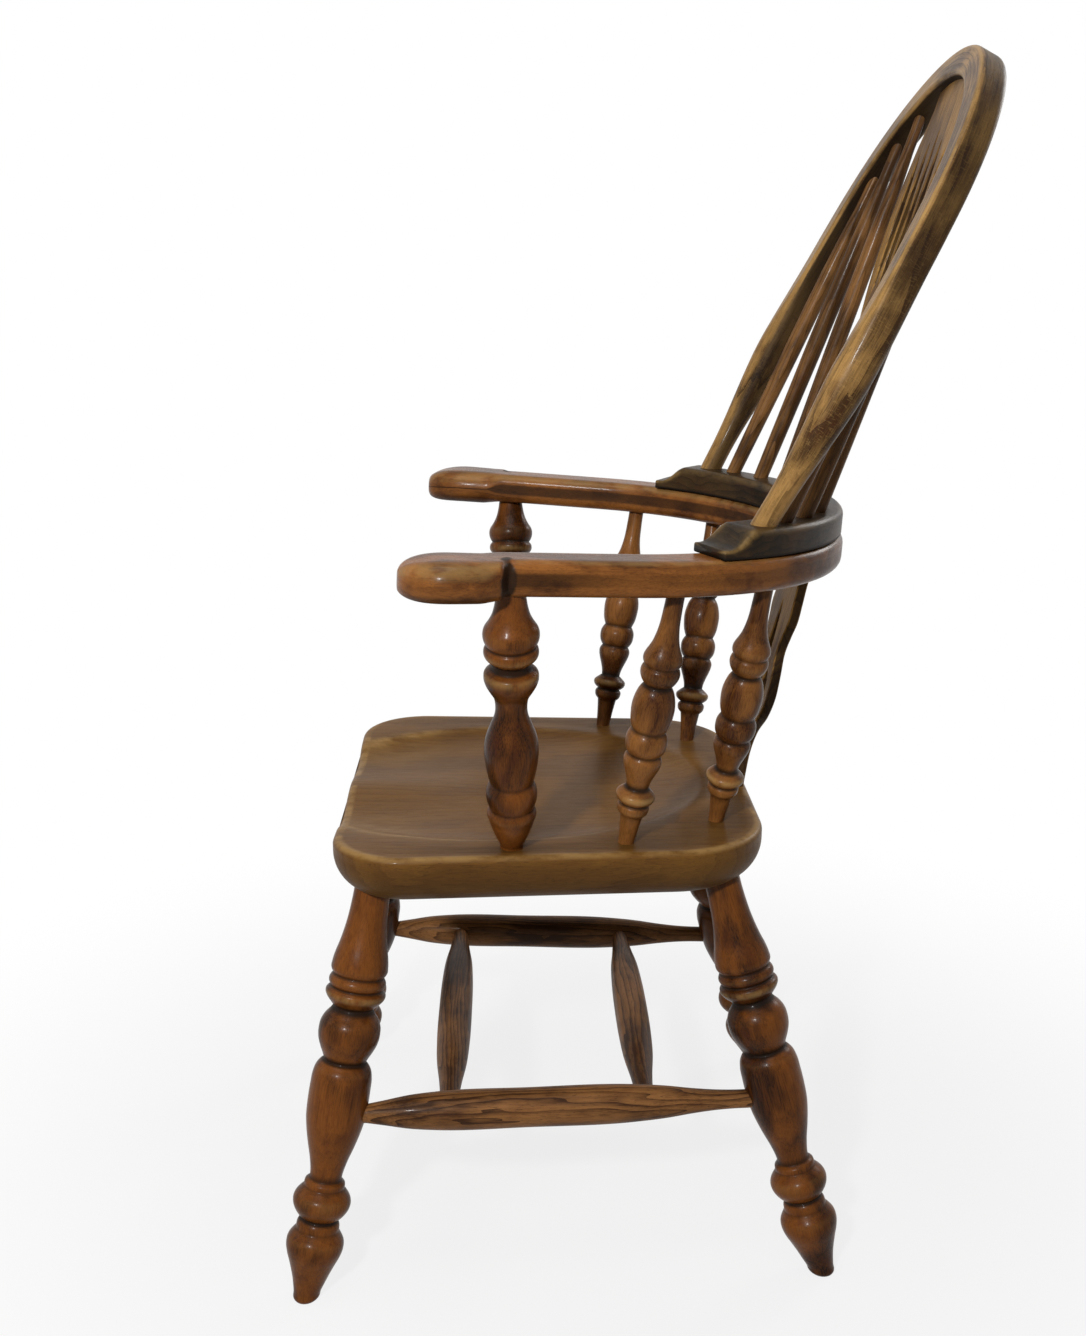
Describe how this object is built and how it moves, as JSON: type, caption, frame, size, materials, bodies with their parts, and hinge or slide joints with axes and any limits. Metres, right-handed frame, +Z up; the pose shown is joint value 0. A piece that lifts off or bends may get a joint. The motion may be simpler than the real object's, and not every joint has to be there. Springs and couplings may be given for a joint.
{
  "type": "windsor chair",
  "caption": "Broad arm windsor chair with turned legs and spindles, a dished plank seat, a lapped arm bow and a tall hoop back with plain sticks and pierced splats.",
  "frame": {"origin": "on the floor, at the middle of the chair's outer box", "axes": "+Z up, the sitter faces -Y, +X is the sitter's left"},
  "size_m": [0.622, 0.6737, 1.1697],
  "materials": {
    "turned_legs": "old wax polish",
    "stretchers": "old wax polish",
    "seat_plank": "old wax polish",
    "turned_spindles": "old wax polish",
    "arm_wood": "old wax polish",
    "crest_wood": "old wax polish",
    "hoop_wood": "old wax polish",
    "stick_wood": "old wax polish",
    "splat_wood": "old wax polish",
    "screw_steel": "dull"
  },
  "bodies": {
    "root": {"arm_crest": "crest_wood", "arm_left": "arm_wood", "arm_right": "arm_wood", "arm_stump_left": "turned_spindles", "arm_stump_right": "turned_spindles", "back_hoop": "hoop_wood", "back_stick_1_left": "stick_wood", "back_stick_1_right": "stick_wood", "back_stick_2_left": "stick_wood", "back_stick_2_right": "stick_wood", "back_stick_3_left": "stick_wood", "back_stick_3_right": "stick_wood", "crest_screws": "screw_steel", "cross_stretcher_front": "stretchers", "cross_stretcher_rear": "stretchers", "leg_front_left": "turned_legs", "leg_front_right": "turned_legs", "leg_rear_left": "turned_legs", "leg_rear_right": "turned_legs", "lower_splat": "splat_wood", "rear_spindle_left": "turned_spindles", "rear_spindle_right": "turned_spindles", "seat": "seat_plank", "side_spindle_left": "turned_spindles", "side_spindle_right": "turned_spindles", "side_stretcher_left": "stretchers", "side_stretcher_right": "stretchers", "upper_splat": "splat_wood"}
  },
  "joints": []
}
